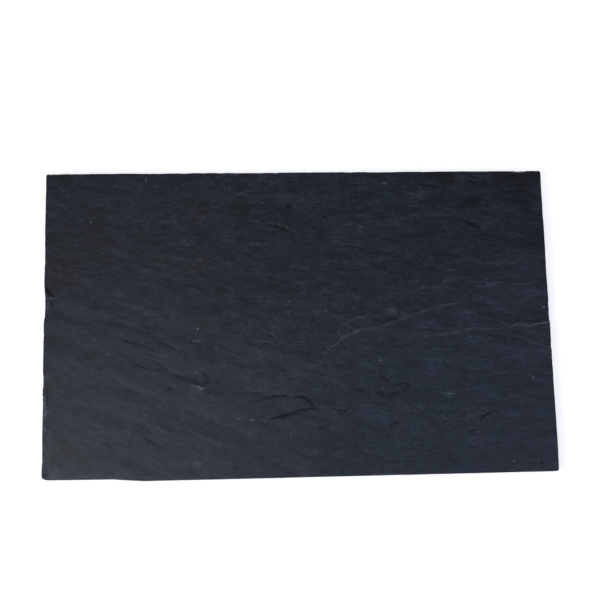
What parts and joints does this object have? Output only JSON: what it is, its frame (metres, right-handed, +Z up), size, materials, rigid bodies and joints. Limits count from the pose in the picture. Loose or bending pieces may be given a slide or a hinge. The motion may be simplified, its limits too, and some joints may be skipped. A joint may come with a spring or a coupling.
{
  "type": "slate coping stone",
  "caption": "Rectangular slab of dark blue-grey slate with a riven top face and sawn sides, laid flat on a wall to cap it and shed rain.",
  "frame": {"origin": "middle of the flat underside, at the centre of the slab's box in plan", "axes": "+X along the length to the right end, +Y across the depth to the back edge, +Z up through the riven top face"},
  "size_m": [0.5, 0.304, 0.0274],
  "materials": {
    "slate": "riven slate, matt with a faint sheen"
  },
  "bodies": {
    "root": {"coping_stone": "slate"}
  },
  "joints": []
}
